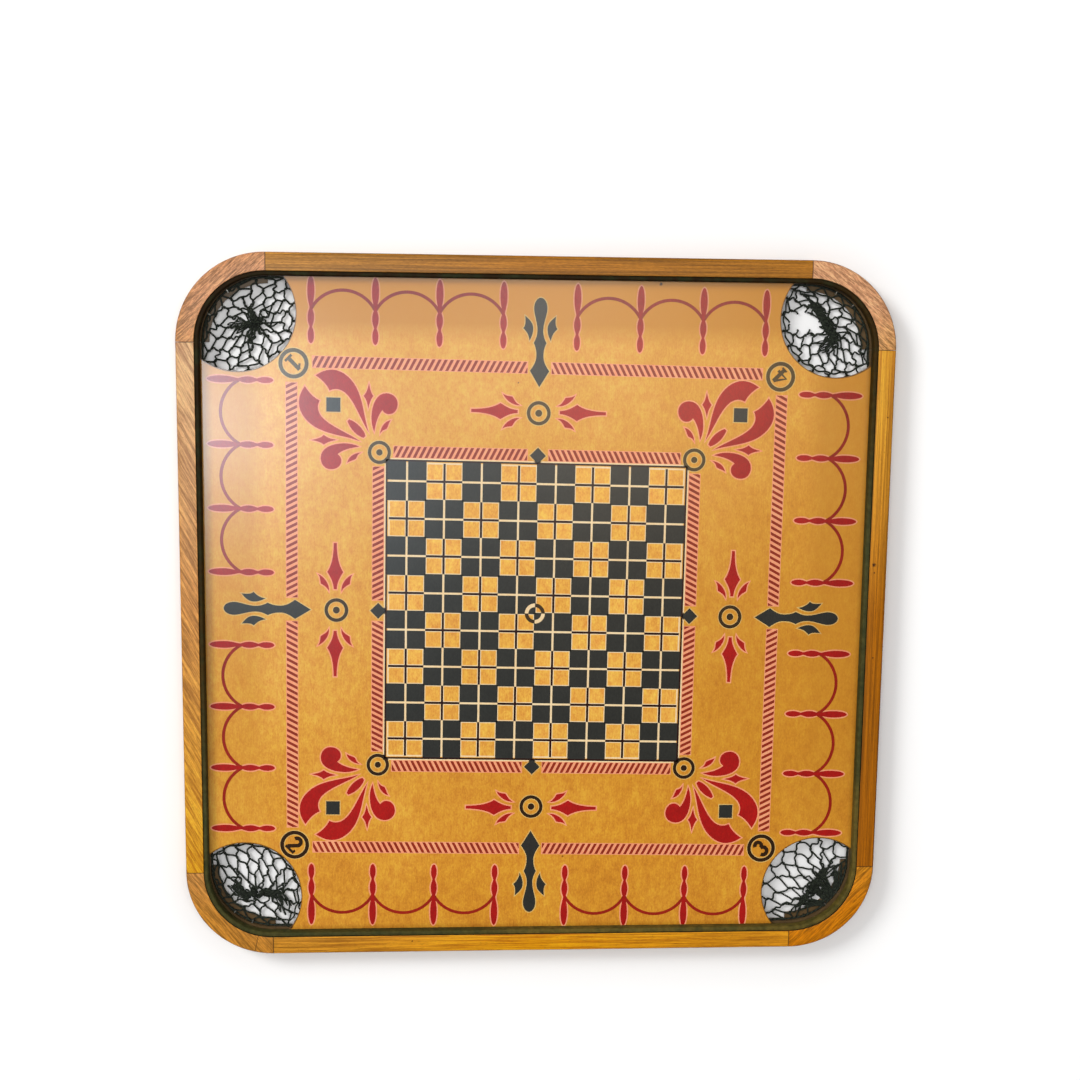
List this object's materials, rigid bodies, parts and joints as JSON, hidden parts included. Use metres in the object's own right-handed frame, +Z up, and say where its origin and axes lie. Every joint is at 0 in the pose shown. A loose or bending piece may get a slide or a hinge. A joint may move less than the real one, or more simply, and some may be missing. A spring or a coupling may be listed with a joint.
{
  "type": "carrom board",
  "caption": "Square plywood game board in a rounded hardwood frame with a green liner, printed play field and a cord net pocket under each corner.",
  "frame": {"origin": "on the surface that the board lies on, below the middle of the frame", "axes": "+Z up, out of the playing face; +X to the right and +Y to the back, as the board lies in front of a player, along the frame's sides"},
  "size_m": [0.724, 0.724, 0.0254],
  "materials": {
    "panel_plywood": "amber varnished plywood with screen printed game marks in red, pink and dark ink",
    "rail_hardwood": "satin varnished hardwood, straight grain",
    "corner_hardwood": "satin varnished hardwood, grain across the corner",
    "tongue_hardwood": "bare hardwood",
    "liner_green_paint": "dark green satin paint",
    "net_cotton": "dark green-black twisted cotton cord",
    "staple_steel": "drawn steel wire"
  },
  "bodies": {
    "root": {"playing_panel": "panel_plywood", "rail_right": "rail_hardwood", "rail_back": "rail_hardwood", "rail_left": "rail_hardwood", "rail_front": "rail_hardwood", "corner_back_right": "corner_hardwood", "corner_back_left": "corner_hardwood", "corner_front_left": "corner_hardwood", "corner_front_right": "corner_hardwood", "tongue_back_right_1": "tongue_hardwood", "tongue_back_right_2": "tongue_hardwood", "tongue_back_left_1": "tongue_hardwood", "tongue_back_left_2": "tongue_hardwood", "tongue_front_left_1": "tongue_hardwood", "tongue_front_left_2": "tongue_hardwood", "tongue_front_right_1": "tongue_hardwood", "tongue_front_right_2": "tongue_hardwood", "liner_back_right": "liner_green_paint", "liner_back_left": "liner_green_paint", "liner_front_left": "liner_green_paint", "liner_front_right": "liner_green_paint", "net_back_right": "net_cotton", "net_back_left": "net_cotton", "net_front_left": "net_cotton", "net_front_right": "net_cotton", "rim_cord_back_right": "net_cotton", "rim_cord_back_left": "net_cotton", "rim_cord_front_left": "net_cotton", "rim_cord_front_right": "net_cotton", "net_tie_back_right": "net_cotton", "net_tie_back_left": "net_cotton", "net_tie_front_left": "net_cotton", "net_tie_front_right": "net_cotton", "staple_back_right_1": "staple_steel", "staple_back_right_2": "staple_steel", "staple_back_right_3": "staple_steel", "staple_back_right_4": "staple_steel", "staple_back_right_5": "staple_steel", "staple_back_right_6": "staple_steel", "staple_back_left_1": "staple_steel", "staple_back_left_2": "staple_steel", "staple_back_left_3": "staple_steel", "staple_back_left_4": "staple_steel", "staple_back_left_5": "staple_steel", "staple_back_left_6": "staple_steel", "staple_front_left_1": "staple_steel", "staple_front_left_2": "staple_steel", "staple_front_left_3": "staple_steel", "staple_front_left_4": "staple_steel", "staple_front_left_5": "staple_steel", "staple_front_left_6": "staple_steel", "staple_front_right_1": "staple_steel", "staple_front_right_2": "staple_steel", "staple_front_right_3": "staple_steel", "staple_front_right_4": "staple_steel", "staple_front_right_5": "staple_steel", "staple_front_right_6": "staple_steel"}
  },
  "joints": []
}
